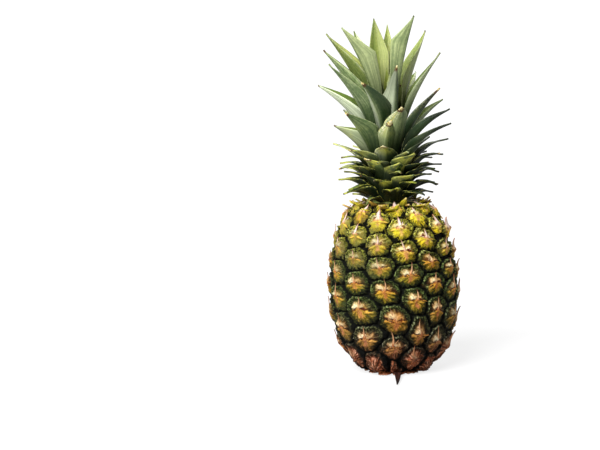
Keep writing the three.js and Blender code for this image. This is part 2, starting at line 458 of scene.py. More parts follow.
def eye_relief(eye, across, up, seam):
    """Height of the skin in an eye over the mean face, in mm, with the distance to the seam in mm."""
    turn = math.atan2(up, across)
    reach = math.hypot(across, up)
    upper = smoothstep(-0.15, 0.15, up)
    arch = min(seam, ARCH_SCALE * (ARCH_REACH - reach))
    groove = -3.6 * (1 - smoothstep(0.0, lerp(1.4, 1.0, upper), seam))
    beads = 1 + 0.6 * math.sin(BEADS_ROUND_EYE * turn + 3 * eye.lean)
    rim = 0.7 * bump(arch - 1.6, 0.8) * beads - 0.9 * (1 - smoothstep(-1.2, 0.9, arch))
    ring = -1.2 * bump(arch - 4.0, 1.6)
    left = (1.5 + 0.4 * eye.swell) * bump(math.hypot((across + 0.26) / 0.30, (up - 0.30) / 0.24), 1)
    right = (1.1 - 0.4 * eye.swell) * bump(math.hypot((across - 0.30) / 0.26, (up - 0.25) / 0.22), 1)
    lower_slope = -1.5 * smoothstep(0.4, 1.0, reach)
    lip = 1.1 * bump(up - bract_edge(across, eye.lean), 0.10) * smoothstep(0.95, 0.5, abs(across))
    notches = -1.3 * bump(math.hypot((abs(across) - 0.18) / 0.10, (up - 0.07) / 0.08), 1)
    boss = 1.5 * bump(reach, 0.42)
    pleats = 0.5 * math.sin(13 * turn + 4 * eye.lean) + 0.4 * math.sin(21 * turn + 5 * eye.tone)
    pleats *= bump(reach - 0.5, 0.3)
    level = 0.2 + upper * (rim + ring + left + right) + (1 - upper) * lower_slope
    level += lip + notches + boss + pleats + 0.4 * eye.lift * bump(reach - 0.5, 0.3)
    return groove + level * smoothstep(0.3, 2.0, seam)


def skin_point(row, azimuth, eye, across, up, seam):
    place = around(row.reach, azimuth, row.height)
    grain = noise.noise(place * 330) * 0.5 + noise.noise(place * 140) * 0.6
    return row.place(azimuth, row.fade * (eye_relief(EYES[eye], across, up, seam / MM) + grain) * MM)


def fruit_skin():
    """The whole skin: a grid rolled round the outline, its columns along the steep spirals."""
    columns = EYE_COLUMNS * CELLS_ACROSS_EYE
    rows = [SkinRow(number / SKIN_ROWS) for number in range(SKIN_ROWS + 1)]
    bm = bmesh.new()
    bmesh.ops.create_grid(bm, x_segments=columns, y_segments=SKIN_ROWS, size=1)
    eye_layer = bm.loops.layers.float_vector.new("eye")
    character_layer = bm.faces.layers.float_vector.new("character")
    places = {}
    for vert in bm.verts:
        row = rows[round((vert.co.y + 1) / 2 * SKIN_ROWS)]
        azimuth = 180 * vert.co.x + EYE_START + STEEP_TURN * EYE_COUNT * row.share
        wander = row.wander(azimuth)
        places[vert] = (row, azimuth, wander, row.eye_at(azimuth, wander))
    for face in bm.faces:
        corners = [places[vert] for vert in face.verts]
        row, azimuth, wander, _ = corners[0]
        numbers = {corner[3] for corner in corners}
        number = min(numbers, key=lambda eye: row.offset(azimuth, eye, wander).length_squared)
        eye = EYES[number]
        face[character_layer] = (eye.lean, eye.swell, eye.tone)
        for loop in face.loops:
            row, azimuth, wander, _ = places[loop.vert]
            across, up, seam = row.in_eye(azimuth, number, wander)
            loop[eye_layer] = (across, up, seam / MM)
    for vert, (row, azimuth, wander, number) in places.items():
        vert.co = skin_point(row, azimuth, number, *row.in_eye(azimuth, number, wander))
    bmesh.ops.remove_doubles(bm, verts=bm.verts, dist=0.01 * MM)
    close_foot(bm)
    close_top(bm)
    bmesh.ops.recalc_face_normals(bm, faces=bm.faces)
    return bm


def rim_edges(bm, height):
    """The open edges that lie at a height."""
    return [edge for edge in bm.edges if edge.is_boundary and abs(edge.verts[0].co.z - height) < 0.1 * MM]


def draw_in(bm, edges, radius, height):
    """Extrudes a ring of edges to a new radius and height, and gives the new ring."""
    made = bmesh.ops.extrude_edge_only(bm, edges=edges)["geom"]
    for vert in (part for part in made if isinstance(part, bmesh.types.BMVert)):
        flat = Vector((vert.co.x, vert.co.y)).normalized() * radius
        vert.co = (flat.x, flat.y, height)
    return [part for part in made if isinstance(part, bmesh.types.BMEdge) and part.is_boundary]


def close_foot(bm):
    ring = draw_in(bm, rim_edges(bm, 0), STALK_RADIUS + GAP, 0)
    ring = draw_in(bm, ring, STALK_RADIUS + GAP, STALK_DEPTH + GAP)
    bmesh.ops.contextual_create(bm, geom=ring)


def close_top(bm):
    ring = draw_in(bm, rim_edges(bm, FRUIT_HEIGHT), STEM_BASE_RADIUS * 0.9, FRUIT_HEIGHT)
    bmesh.ops.contextual_create(bm, geom=ring)


# ---- the tips of the eyes' bracts ----
# From its root under the middle to its dry point: its height in the eye, and its half width and its stand
# over the skin in mm.
TIP_ROWS = [
    (-0.36, 0.4, -0.6), (-0.24, 0.9, 0.7), (-0.10, 1.4, 1.8), (0.0, 1.7, 2.5), (0.10, 1.4, 2.9),
    (0.24, 1.0, 2.6), (0.42, 0.75, 2.2), (0.62, 0.6, 2.0), (0.82, 0.4, 2.0), (1.0, 0.12, 2.3),
]
FIRST_FREE_ROW = 4
# How far the dry tips of some eyes stand off the skin, mm. The others get a chance value.
STANDING_TIPS = {77: 3.0, 63: 3.2, 49: 3.2, 12: 3.0, 35: 2.0, 21: 2.5}
WIDEST_TIPS = 64.2 * MM
FIBRE_ANGLES = (20, 35, 62, 118, 146, 160)
# Parts of the tip's paint, by the share of its length, that the edges and the fibres take theirs from.
BRIGHT = (0.05, 0.30)
FLESHY = (0.10, 0.34)
PAPERY = (0.45, 0.75)


class EyePlace:
    """Finds points on an eye of the skin."""

    def __init__(self, number):
        self.middle = SkinRow((number + 0.5) / EYE_COUNT)
        shift = self.middle.wander(EYE_START + number * EYE_TURN)
        self.azimuth = EYE_START + number * EYE_TURN - shift.x / self.middle.degree
        self.share = (number + 0.5 - shift.y / self.middle.step) / EYE_COUNT
        self.half_width = self.middle.degree * HALF_TURN
        self.half_height = self.middle.step * HALF_STEPS

    def at(self, across, up, stand):
        """The point at -1 to 1 across the eye, -1 to 1 up it, and so many mm over the skin."""
        row = SkinRow(min(0.998, max(0.002, self.share + up * HALF_STEPS / EYE_COUNT)))
        azimuth = self.azimuth + across * HALF_TURN + STEEP_TURN * HALF_STEPS * up
        point = row.place(azimuth, lerp(0.4, 1, self.middle.fade) * stand * MM)
        share = min(1, WIDEST_TIPS / math.hypot(point.x, point.y))
        return Vector((point.x * share, point.y * share, max(point.z, 0.8 * MM)))


def add_strip(bm, place, eye, path, cells_wide, paint_range, twist=0.0):
    """A narrow strip on an eye along a path of (across, up, half width in mm, stand in mm)."""
    uv_layer = bm.loops.layers.uv["bract"]
    character_layer = bm.faces.layers.float_vector["character"]
    last = len(path) - 1
    made = bmesh.ops.create_grid(bm, x_segments=cells_wide, y_segments=last, size=1)["verts"]
    for vert in made:
        x, t = vert.co.x, (vert.co.y + 1) / 2
        index = round(t * last)
        across, up, half, stand = path[index]
        before, after = path[max(0, index - 1)], path[min(last, index + 1)]
        aim = Vector(((after[0] - before[0]) * place.half_width, (after[1] - before[1]) * place.half_height))
        aim.normalize()
        across += x * half * MM / place.half_width * aim.y
        up -= x * half * MM / place.half_height * aim.x
        vert.co = place.at(across, up, stand - 0.5 * x * x + twist * x * half)
        for loop in vert.link_loops:
            loop[uv_layer].uv = ((x + 1) / 2, lerp(*paint_range, t))
            loop.face[character_layer] = (eye.lean, eye.swell, eye.tone)


def tip_path(number, chance, widen):
    """The long dry tip, up from the middle of its eye, with chance bends."""
    stand_off = STANDING_TIPS.get(number, max(0.1, chance.uniform(-0.9, 2.0)))
    bend = chance.uniform(-0.24, 0.24)
    hook = chance.uniform(-0.12, 0.12)
    reach_up = chance.uniform(0.8, 1.15)
    path = []
    for index, (up, half, stand) in enumerate(TIP_ROWS):
        free = max(0.0, (index - FIRST_FREE_ROW) / (len(TIP_ROWS) - 1 - FIRST_FREE_ROW))
        across = bend * free ** 1.5 + hook * math.sin(math.pi * free)
        path.append((across, up * (reach_up if up > 0 else 1), half * widen, stand + stand_off * free ** 2))
    return path


def side_path(eye, way, chance, bold):
    """The raised edge of the fleshy bract, from the middle of the eye out to a side."""
    end = chance.uniform(0.45, 0.75) + chance.uniform(0.0, 0.25) * bold
    wave = chance.uniform(-0.06, 0.08) + chance.uniform(-0.05, 0.14) * bold
    path = []
    for step in range(6):
        t = step / 5
        across = lerp(0.04, end, t)
        up = bract_edge(across, eye.lean) + wave * math.sin(math.pi * t)
        half = lerp(1.0, 0.2, t ** 1.5) * (1 + 0.9 * bold)
        path.append((way * across, up, half, lerp(2.3, 1.0 + 0.8 * bold, t)))
    return path


def stroke_path(angle, chance, bold):
    """A dry fibre in the hollow over the bract, out from the middle of the eye."""
    length = chance.uniform(0.30, 0.62) + chance.uniform(0.0, 0.3) * bold
    turn = math.radians(angle + chance.uniform(-16, 16))
    path = []
    for step in range(4):
        t = step / 3
        reach = lerp(0.10, length, t)
        half = lerp(0.55, 0.15, t) * (1 + 0.8 * bold)
        path.append((reach * math.cos(turn), reach * math.sin(turn) + 0.04, half, lerp(2.3, 1.2, t)))
    return path


def eye_bract(bm, number):
    """The dry parts of an eye's bract: its long tip, its two raised edges, and a few loose fibres."""
    eye = EYES[number]
    place = EyePlace(number)
    if place.middle.fade < 0.3:
        return
    chance = chance_for("dry tip", number)
    bold = smoothstep(0.66, 0.88, number / EYE_COUNT)
    stands = number in STANDING_TIPS
    widen = chance.uniform(0.8, 1.2) * (1 + 1.6 * bold) * (2.2 if stands else 1)
    add_strip(bm, place, eye, tip_path(number, chance, widen), 4, (0, 1), 0.5 if stands else 0.0)
    for way in (-1, 1):
        add_strip(bm, place, eye, side_path(eye, way, chance, bold), 2, BRIGHT)
    for angle in FIBRE_ANGLES:
        if chance.random() < 0.6 and (25 < angle < 155 or bold > 0.5):
            paint_range = PAPERY if angle % 4 else FLESHY
            add_strip(bm, place, eye, stroke_path(angle, chance, bold), 2, paint_range)


def bract_tips():
    bm = bmesh.new()
    bm.faces.layers.float_vector.new("character")
    bm.loops.layers.uv.new("bract")
    for number in range(EYE_COUNT):
        eye_bract(bm, number)
    return bm


# ---- the crown ----
def stem_radius(rise):
    return lerp(STEM_BASE_RADIUS, STEM_TIP_RADIUS, rise / STEM_HEIGHT)


class LeafLine:
    """The line of a leaf in the plane of the axis, as reach and height."""

    def __init__(self, rise, root_lean, tip_height, tip_reach):
        root = Vector((stem_radius(rise * MM) + GAP + LEAF_THICKNESS / 2, FRUIT_HEIGHT + rise * MM))
        tip = Vector((tip_reach * MM, tip_height * MM))
        chord = (tip - root).length
        chord_lean = math.atan2(tip.x - root.x, tip.y - root.y)
        start_lean = math.radians(root_lean)
        end_lean = chord_lean + 0.9 * (chord_lean - start_lean)
        pull = chord * 0.36
        after = root + pull * Vector((math.sin(start_lean), math.cos(start_lean)))
        before = tip - pull * Vector((math.sin(end_lean), math.cos(end_lean)))
        self.points = (root, after, before, tip)

    def at(self, t):
        a, b, c, d = self.points
        s = 1 - t
        return s * s * s * a + 3 * s * s * t * b + 3 * s * t * t * c + t * t * t * d

    def towards(self, t):
        a, b, c, d = self.points
        s = 1 - t
        return (s * s * (b - a) + 2 * s * t * (c - b) + t * t * (d - c)).normalized()


FIRST_SCALE = 28
# What single leaves are like, by their places in LEAVES, counted from 1. The others get chance values.
LEAF_HABITS = {
    # how sharply it is folded along its middle
    "fold": {1: 1.3, 2: 0.8, 3: 0.2, 4: 0.4, 5: 0.9, 10: 1.4, 12: 1.2, 17: 0.5, 21: 0.8, 22: 1.0, 28: 0.5},
    # how much of its end is dry
    "dry": {
        10: 0.035, 12: 0.045, 14: 0.06, 17: 0.085, 21: 0.12, 22: 0.045, 28: 0.1, 30: 0.045, 37: 0.08,
        39: 0.04,
    },
    # how far its point hooks down, mm
    "hook": {29: 2, 31: 5, 34: 8, 38: 7, 40: 5, 41: 7, 43: 9, 46: 6, 48: 5, 50: 7, 52: 8, 54: 5, 56: 5},
    # how yellow it is, or, if less than 0, how much darker it is painted: painted shade, mostly on leaves of
    # the right side, away from the key light
    "yellow": {
        1: 0.25, 2: 0.35, 3: 0.5, 4: 0.9, 5: 0.7, 6: 0.85, 7: 0.9, 8: -0.2, 10: -0.3, 13: 0.5, 14: -0.5,
        19: -0.2, 20: -0.5, 24: -0.4, 28: 0.1, 34: -0.5, 41: -0.6, 43: -0.6, 45: -0.4, 50: -0.6, 52: -0.6,
    },
    # how rounded its end is
    "blunt": {
        12: 0.08, 14: 0.3, 17: 0.04, 21: 0.04, 28: 0.3, 29: 0.2, 33: 0.3, 37: 0.3, 40: 0.35, 46: 0.4, 48: 0.2,
        54: 0.0, 56: 0.05,
    },
    # how much wider its left half is than its right half
    "lopsided": {10: 0.26, 12: 0.12, 17: -0.12, 21: 0.1, 28: 0.05},
    # how thin and claw-like its end is
    "claw": {
        10: 0.45, 21: 0.15, 24: 0.2, 33: 0.0, 34: 1.0, 35: 0.6, 37: 0.0, 40: 0.0, 41: 0.9, 43: 1.0, 45: 0.6,
        46: 0.0, 48: 0.3, 49: 0.7, 50: 1.0, 52: 1.0, 54: 0.7, 56: 0.6,
    },
    # how much paler its left half is painted, as bloom and painted light, and its right half darker, as
    # painted shade; the other way round if less than 0
    "tone": {
        1: 0.25, 2: -0.45, 3: 0.45, 5: 0.4, 6: 0.4, 8: 0.5, 10: 0.9, 11: 0.4, 12: 1.0, 14: -0.5, 17: 0.4,
        20: -0.6, 21: 0.5, 22: 0.6, 24: -0.6, 28: 0.8, 33: 0.3,
    },
}
# How wide it is, as a share of its usual width.
WIDER = {
    1: 1.2, 2: 1.36, 4: 0.75, 5: 0.8, 8: 0.5, 10: 1.1, 12: 0.86, 13: 1.25, 14: 0.5, 17: 0.9, 19: 0.55,
    20: 0.5, 24: 0.52, 29: 0.7, 31: 0.7, 33: 1.15, 40: 1.1, 46: 1.2, 48: 0.95, 54: 0.65, 56: 0.7,
}
# The scales that face the front, by their azimuths, are rooted lower, mm, and stand more upright.
FRONT_SCALES = (-50, 50)
FRONT_DROP = 5
LOWEST_RISE = 1.5
FRONT_LEAN = 0.6
FRONT_REACH = 0.86
# The scales on the left, by their azimuths, are broad, and those on the right are painted darker, most of all
# towards their ends: painted shade.
LEFT_SCALES = (-105, -45)
LEFT_WIDTH = 1.25
RIGHT_SCALES = (35, 140)
RIGHT_SCALE_SHADE = -0.5


def leaf_taper(t):
    """Share of the full width along the leaf: narrower where it clasps the stem, then a long point."""
    clasp = 0.78 + 0.22 * smoothstep(0, 0.3, t)
    left = min(1, (1 - t) / 0.55)
    return clasp * (0.7 * math.sin(left * math.pi / 2) + 0.3 * left)


def blunt_taper(t):
    """The same for a leaf with a short, rounded end."""
    clasp = 0.78 + 0.22 * smoothstep(0, 0.3, t)
    return clasp * math.sqrt(max(0, 1 - max(0, (t - 0.4) / 0.6) ** 2.4))


class Blade:
    """What a leaf is like: its line, its azimuth, its width, and the habits of its surface."""

    def __init__(self, line, azimuth, sway, width, chance, scale_like):
        self.line = line
        self.azimuth = azimuth
        self.sway = sway
        self.width = width * (1.2 if scale_like else 1.42) * MM
        self.fold = chance.uniform(0.1, 0.4) if scale_like else chance.uniform(0.6, 1.1)
        self.curl = 0.8 if scale_like else 0.45
        self.droop = 1.3 if scale_like else 0.0
        self.dry = chance.uniform(-0.10, 0.02)
        self.hook = chance.uniform(2, 7) if scale_like else chance.uniform(-0.5, 1.0)
        self.blunt = 0.14 if scale_like else 0.0
        self.lopsided = chance.uniform(-0.1, 0.1)
        self.claw = chance.uniform(0, 0.6) if scale_like else 0.0
        self.ripple = chance.uniform(0, 6)
        self.yellow = chance.uniform(0, 0.3)
        self.tone = chance.uniform(-1, 1)

    def point(self, x, t):
        """The place across the blade, x from -1 to 1, and along it, t from 0 to 1."""
        middle = self.line.at(t)
        along = self.line.towards(t)
        root_reach = self.line.points[0].x
        cup = lerp(1 / root_reach, 1 / (self.curl * self.width), smoothstep(0, 0.4, t))
        taper = lerp(leaf_taper(t), blunt_taper(t), self.blunt)
        taper *= (1 - self.lopsided * x) * (1 - 0.7 * self.claw * smoothstep(0.35, 0.75, t))
        half = min(self.width / 2 * taper + 0.15 * MM, WIDEST_CLASP * middle.x)
        angle = x * half * cup
        crease = self.fold * half * (math.hypot(x, 0.12) - 0.12) * smoothstep(0.1, 0.5, t)
        wave = 0.5 * MM * x * x * math.sin(self.ripple + 9 * t) * smoothstep(0.1, 0.4, t)
        upright = 1 - self.droop * smoothstep(0.62, 1.0, t)
        lift = ((1 - math.cos(angle)) / cup + 0.6 * crease) * upright + wave
        aside = math.sin(angle) / cup * (1 - 0.12 * self.fold)
        drop = self.hook * MM * smoothstep(0.55, 1.05, t) ** 2
        reach = middle.x - lift * along.y + 0.25 * drop
        turn = math.radians(self.azimuth + self.sway * t * t)
        return Vector((
            reach * math.sin(turn) + aside * math.cos(turn),
            -reach * math.cos(turn) + aside * math.sin(turn),
            middle.y + lift * along.x - drop,
        ))


def new_leaf_bmesh():
    bm = bmesh.new()
    bm.loops.layers.uv.new("blade")
    bm.faces.layers.float_vector.new("character")
    bm.verts.layers.deform.verify()
    return bm


def add_sheet(bm, cells_wide, cells_long, character, place):
    """Adds a leaf's surface: a grid whose points go where place(x, t) says, x across and t along."""
    uv_layer = bm.loops.layers.uv["blade"]
    character_layer = bm.faces.layers.float_vector["character"]
    weights = bm.verts.layers.deform.active
    made = bmesh.ops.create_grid(bm, x_segments=cells_wide, y_segments=cells_long, size=1)["verts"]
    for vert in made:
        x, t = vert.co.x, (vert.co.y + 1) / 2
        vert[weights][0] = 1 - abs(x) ** 1.5
        for loop in vert.link_loops:
            loop[uv_layer].uv = ((x + 1) / 2, t)
            loop.face[character_layer] = character
        vert.co = place(x, t)
    faces = list({face for vert in made for face in vert.link_faces})
    for face in faces:
        face.normal_update()
    lowest = min(faces, key=lambda face: face.calc_center_median().z)
    middle = lowest.calc_center_median()
    if lowest.normal.dot(Vector((middle.x, middle.y, 0))) < 0:
        bmesh.ops.reverse_faces(bm, faces=faces)


def add_blade(bm, blade, cells_wide, cells_long):
    add_sheet(bm, cells_wide, cells_long, (blade.dry, blade.yellow, blade.tone), blade.point)


def finish_leaf(bm, name, materials, replaces=(), thickness=1.7 * MM, thin_edge=0.3):
    """Makes a piece of leaves: thick in the middle, thin at the edges, with its second material inside."""
    piece = finish_piece(bm, name, materials, replaces)
    piece.vertex_groups.new(name="middle")
    wall = thicken(piece, thickness, 0)
    wall.material_offset = 1
    wall.vertex_group = "middle"
    wall.thickness_vertex_group = thin_edge


def scale_yellow_with_right_shade(blade):
    """How yellow a scale is: those on the right get a darkness instead, painted shade that is strongest
    towards their ends.
    """
    return RIGHT_SCALE_SHADE if lies_within(blade.azimuth, RIGHT_SCALES) else blade.yellow


def shape_scale(blade):
    """What the scales have in common on the side that they face."""
    if lies_within(blade.azimuth, FRONT_SCALES):
        blade.droop = 0.5
        blade.blunt *= 0.5
        blade.hook *= 0.5
        blade.curl = 0.65
    if lies_within(blade.azimuth, LEFT_SCALES):
        blade.width *= LEFT_WIDTH
        blade.droop = 0.6
        blade.curl = 0.6


def crown_leaves(materials):
    """A blade for every leaf that the frame has."""
    for number, leaf in enumerate(LEAVES, start=1):
        azimuth, tip_height, tip_reach, width, sway = leaf
        _, rise, root_lean = read_table(LEAF_ROOTS, number - 1)
        if number > FIRST_SCALE and lies_within(azimuth, FRONT_SCALES):
            rise = max(LOWEST_RISE, rise - FRONT_DROP)
            root_lean *= FRONT_LEAN
            tip_reach *= FRONT_REACH
        line = LeafLine(rise, root_lean, tip_height, tip_reach)
        blade = Blade(line, azimuth, sway, width, chance_for("leaf", number), number >= FIRST_SCALE)
        if number >= FIRST_SCALE:
            blade.yellow = scale_yellow_with_right_shade(blade)
        for habit, leaves in LEAF_HABITS.items():
            setattr(blade, habit, leaves.get(number, getattr(blade, habit)))
        blade.width *= WIDER.get(number, 1)
        if number > FIRST_SCALE:
            shape_scale(blade)
        bm = new_leaf_bmesh()
        add_blade(bm, blade, 12, 28)
        name = f"crown_leaf_{number:02d}"
        finish_leaf(bm, name + "_blade", materials, [name])


HEART_LEAVES = 7
FOOT_SCALES = 34
GOLDEN_TURN = 137.5


def heart_leaves(materials):
    """The small young leaves that stand at the crown's heart, inside the others."""
    bm = new_leaf_bmesh()
    for number in range(HEART_LEAVES):
        chance = chance_for("heart leaf", number)
        line = LeafLine(66 - number, 4, 290 - 5 * number + chance.uniform(-4, 4), 7 + 2 * number)
        blade = Blade(line, 35 + GOLDEN_TURN * number, 0, 9 + number * 0.7, chance, False)
        blade.yellow = 0.9
        add_blade(bm, blade, 6, 14)
    finish_leaf(bm, "crown_heart_leaves", materials)


def foot_scales(materials):
    """The narrow scales between the broad ones, round the foot of the crown."""
    bm = new_leaf_bmesh()
    for number in range(FOOT_SCALES):
        chance = chance_for("foot scale", number)
        low = number / (FOOT_SCALES - 1)
        rise = lerp(30, 0.5, low)
        tip_height = lerp(214, 168, low) + chance.uniform(-3, 3)
        tip_reach = lerp(50, 41, low) + chance.uniform(-3, 3)
        line = LeafLine(rise, lerp(40, 62, low), tip_height, tip_reach)
        azimuth = 23 + GOLDEN_TURN * number
        blade = Blade(line, azimuth, chance.uniform(-6, 6), chance.uniform(9, 14), chance, True)
        blade.hook = chance.uniform(1, 6)
        blade.dry = chance.uniform(-0.08, 0.05)
        blade.yellow = scale_yellow_with_right_shade(blade)
        if lies_within(blade.azimuth, FRONT_SCALES):
            blade.droop = 0.4
            blade.claw = 0.9
        add_blade(bm, blade, 6, 14)
    finish_leaf(bm, "crown_foot_scales", materials)


COLLAR_BRACTS = 34


def collar_bracts(materials):
    """The little ragged bracts between the crown's foot and the top rows of eyes."""
    bm = new_leaf_bmesh()
    for number in range(COLLAR_BRACTS):
        chance = chance_for("collar bract", number)
        row = SkinRow(0.915 + 0.025 * (number % 3) + chance.uniform(0, 0.012))
        azimuth = GOLDEN_TURN * number + chance.uniform(-8, 8)
        width, length = chance.uniform(4, 9) * MM, chance.uniform(4, 10) * MM
        lean = math.radians(chance.uniform(20, 75))
        twist = chance.uniform(-14, 14)
        notch = chance.uniform(4, 9)

        def place(x, t):
            half = width / 2 * (1 - t ** 1.6) + 0.2 * MM
            half *= 1 + 0.25 * math.sin(notch * t + number)
            reach = row.reach + length * t * math.sin(lean) - 0.4 * half * x * x
            height = row.height + length * t * math.cos(lean) + 0.3 * MM
            return around(reach, azimuth + twist * t * t + math.degrees(x * half / row.reach), height)

        add_sheet(bm, 4, 6, (chance.uniform(0, 0.2), 1, chance.uniform(-1, 1)), place)
    finish_leaf(bm, "collar_bracts", materials)


FOOT_FLAKES = 15


def foot_flakes(materials):
    """The torn dry bracts that hang round the edge of the base."""
    bm = new_leaf_bmesh()
    for number in range(FOOT_FLAKES):
        chance = chance_for("foot flake", number)
        azimuth = 360 / FOOT_FLAKES * number + chance.uniform(-7, 7)
        front = 6 * bump(wrap(azimuth), 45)
        width, length = chance.uniform(10, 18) * MM, (chance.uniform(4, 7) + front) * MM
        root = chance.uniform(25, 28) * MM
        rise = chance.uniform(1.5, 4.5) * MM
        twist = chance.uniform(-9, 9)
        notch = chance.uniform(5, 11)

        def place(x, t):
            half = width / 2 * (1 - 0.6 * t * t) * (1 + 0.15 * math.sin(notch * (t + x) + number))
            reach = root + length * t + 1.2 * MM * math.sin(notch * x + number) * t
            height = max(1.0 * MM, lerp(rise, 1.2 * MM, t) + 1.2 * MM * math.sin(4 * x + number) * (1 - t))
            return around(reach, azimuth + twist * t + math.degrees(x * half / root), height)

        add_sheet(bm, 6, 5, (0.1, 1, chance.uniform(-1, 1)), place)
    finish_leaf(bm, "foot_flakes", materials, (), 0.6 * MM, 0.4)


FOOT_BRACT_AZIMUTH = -2.4
# Along the long bract at the foot: reach, half width and height, mm.
FOOT_BRACT_ROWS = [
    (27, 3.6, 3.0), (33, 3.6, 3.2), (39, 3.4, 3.4), (45, 3.1, 3.2), (52, 2.6, 2.8), (60, 2.1, 2.5),
    (68, 1.5, 2.2), (75, 0.9, 1.9), (81.5, 0.2, 1.9),
]


def foot_bract(materials):
    """The long dead bract that lies on the ground in front: folded along its middle, with a sharp point."""
    bm = new_leaf_bmesh()
    last = len(FOOT_BRACT_ROWS) - 1

    def place(x, t):
        reach, half, height = FOOT_BRACT_ROWS[round(t * last)]
        aside = x * half + 1.2 * math.sin(math.pi * t)
        height += 0.8 * half * abs(x) * (1 - t) - 0.3 * half + 0.3 * math.sin(9 * t + 3 * x)
        azimuth = math.radians(FOOT_BRACT_AZIMUTH)
        forward = Vector((math.sin(azimuth), -math.cos(azimuth)))
        flat = forward * reach + Vector((-forward.y, forward.x)) * aside
        return Vector((flat.x, flat.y, max(1.0, height))) * MM

    add_sheet(bm, 6, last, (0.1, 1, 0), place)
    finish_leaf(bm, "foot_bract_blade", materials, ["foot_bract"], 0.9 * MM, 0.4)


# ---- shared effects ----
def lines_group():
    """Fine lines along a piece, from coordinates that run across and along it."""
    group = Group("long_lines", {"Blade": (0, 0, 0), "Lines": 20.0, "Seed": 0.0}, ["Lines"])
    across, along, _ = group.split(group.given["Blade"])
    vector = group.join(across * group.given["Lines"], along * 1.6, group.given["Seed"])
    group.feed(group.out["Lines"], group.noise(1.0, 3, 0.6, vector).step(0.32, 0.68))
    return group.tree


def mottle_group():
    """Soft irregular patches, by their size in metres."""
    group = Group("mottle", {"Point": (0, 0, 0), "Size": 0.01, "Edge": 0.15}, ["Patches"])
    edge = group.given["Edge"]
    cloud = group.noise(group.math("DIVIDE", 1.0, group.given["Size"]), 4, 0.6, group.given["Point"])
    low = group.math("SUBTRACT", 0.5, edge)
    high = group.math("ADD", 0.5, edge)
    group.feed(group.out["Patches"], group.ramp(cloud, low, high))
    return group.tree


def dry_end_group():
    """Where the end of a leaf is dry, and the dark line where the dryness stops."""
    group = Group("dry_end", {"Blade": (0, 0, 0), "Dry": 0.05, "Seed": 0.0}, ["Dry", "Scorch"])
    across, along, _ = group.split(group.given["Blade"])
    vector = group.join(across * 3.0, along * 8.0, group.given["Seed"])
    ragged = group.noise(1.0, 3, 0.6, vector).scaled(0.12, -0.06)
    start = group.math("SUBTRACT", 1.0, group.given["Dry"])
    beyond = along + ragged + start * -1.0
    group.feed(group.out["Dry"], beyond.step(-0.006, 0.012))
    group.feed(group.out["Scorch"], beyond.step(-0.03, 0.0) * beyond.step(0.03, 0.008))
    return group.tree


LONG_LINES = lines_group()
MOTTLE = mottle_group()
DRY_END = dry_end_group()


# ---- finishes of the fruit ----
class FruitFinish(Finish):
    """A finish whose colours change from the top rows of eyes to the foot."""

    def __init__(self, name, roughness, specular, low_span, foot_span):
        super().__init__(name, roughness, specular)
        self.point = self.object_point()
        self.sideways, _, self.height = self.split(self.point)
        self.high = self.height.step(0.100, 0.146)
        self.low = self.height.step(*low_span)
        self.foot = self.height.step(*foot_span)
        self.lean, self.swell, self.tone = self.split(self.attribute("character"))

    def by_height(self, top, middle, bottom):
        """A paint that changes from the top rows of eyes to the bottom ones."""
        return self.mix(self.low, self.mix(self.high, middle, top), bottom)

    def coat(self, mask, top, middle, bottom):
        self.lay(mask, self.by_height(top, middle, bottom))


